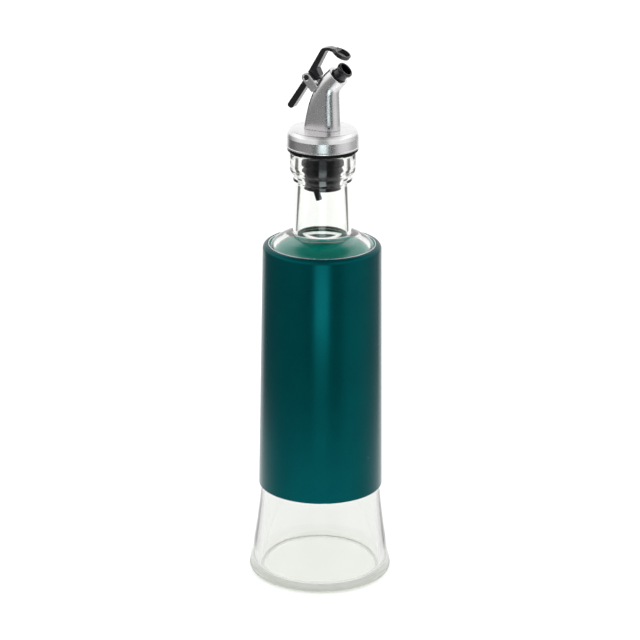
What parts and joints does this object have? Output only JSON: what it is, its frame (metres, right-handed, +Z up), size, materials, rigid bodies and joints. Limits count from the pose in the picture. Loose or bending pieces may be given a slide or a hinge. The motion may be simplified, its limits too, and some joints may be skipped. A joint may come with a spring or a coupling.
{
  "type": "oil cruet",
  "caption": "Clear glass oil bottle in a teal painted metal sleeve, with a silver pourer stopper whose black thumb lever lifts a cap off its spout tip.",
  "frame": {"origin": "centre of the bottle's base, on the surface it stands on", "axes": "+Z up along the bottle's axis; the picture looks along +Y and down, with +X to its right; the spout points towards +X and a little towards -Y"},
  "size_m": [0.07, 0.07, 0.2665],
  "materials": {
    "clear_glass": "clear, smooth, slightly green at its edges",
    "teal_paint": "pearlescent teal paint with a satin gloss, inside and out",
    "black_rubber": "smooth black soft plastic",
    "silver_finish": "satin silver plating on plastic",
    "black_plastic": "smooth black plastic"
  },
  "bodies": {
    "bottle": {"glass_bottle": "clear_glass", "sleeve": "teal_paint", "plug": "black_rubber", "vent_tube": "black_rubber", "collar": "silver_finish", "spout_body": "silver_finish", "spout_tip": "black_plastic"},
    "lever": {"lever": "black_plastic"}
  },
  "joints": [
    {"name": "lever_hinge", "type": "hinge", "parent": "bottle", "child": "lever", "pos_m": [-0.00579, 0.00295, 0.2515], "axis": [-0.454, -0.891, 0], "range_deg": [-19, 20]}
  ]
}
